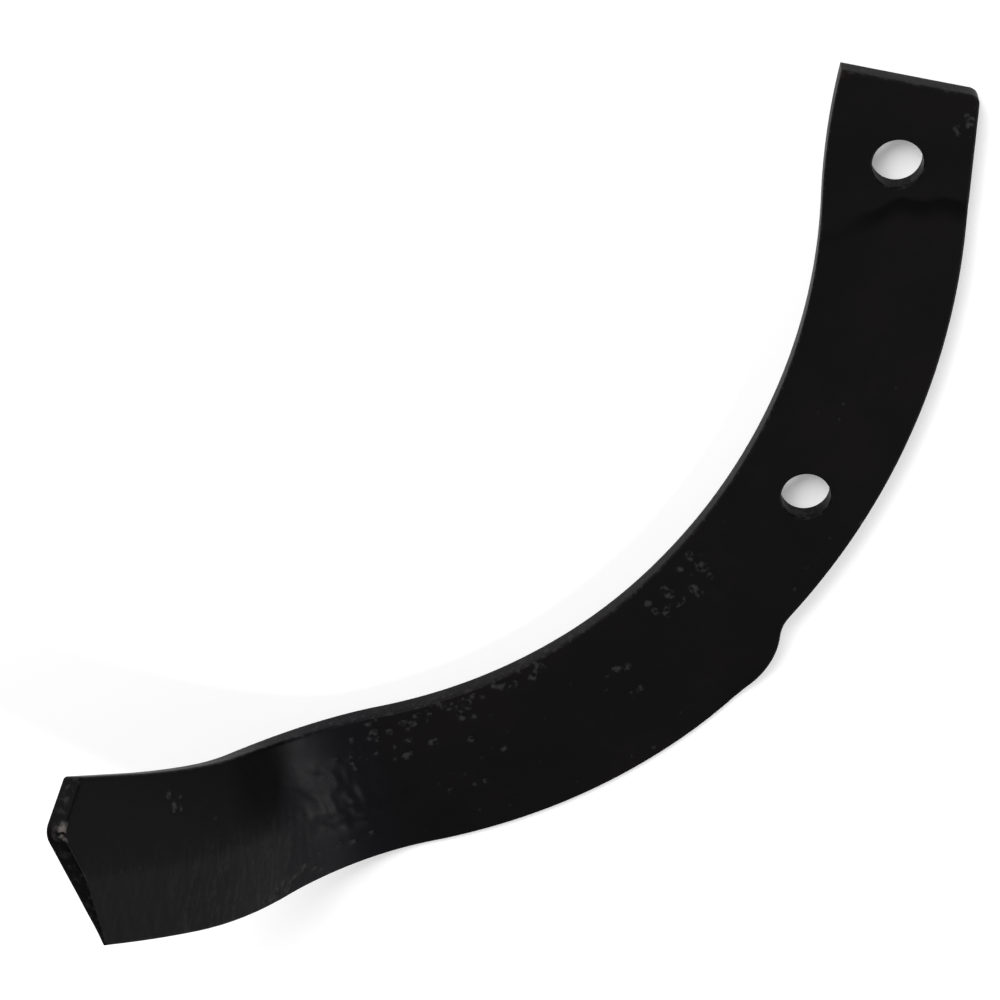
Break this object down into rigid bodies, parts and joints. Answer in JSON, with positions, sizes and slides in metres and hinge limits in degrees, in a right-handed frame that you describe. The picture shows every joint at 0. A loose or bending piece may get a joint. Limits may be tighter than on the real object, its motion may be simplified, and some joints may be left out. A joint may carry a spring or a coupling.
{
  "type": "rotary tiller blade",
  "caption": "Curved rotary tiller blade of flat steel bar, with a bolt-on shank, a forged knife edge along its convex side and a pointed tip bent to one side.",
  "frame": {"origin": "centre of the bolt hole nearest the shank's cut end, on the back face, which is the face the blade lies on", "axes": "+Z square to the shank, from its back face to its front face, the side the tip is bent towards; +Y from the second bolt hole to the end hole; +X towards the shank's convex side"},
  "size_m": [0.1679, 0.214, 0.0739],
  "materials": {
    "blade_paint": "semi-gloss black paint over forged steel"
  },
  "bodies": {
    "root": {"tiller_blade": "blade_paint"}
  },
  "joints": []
}
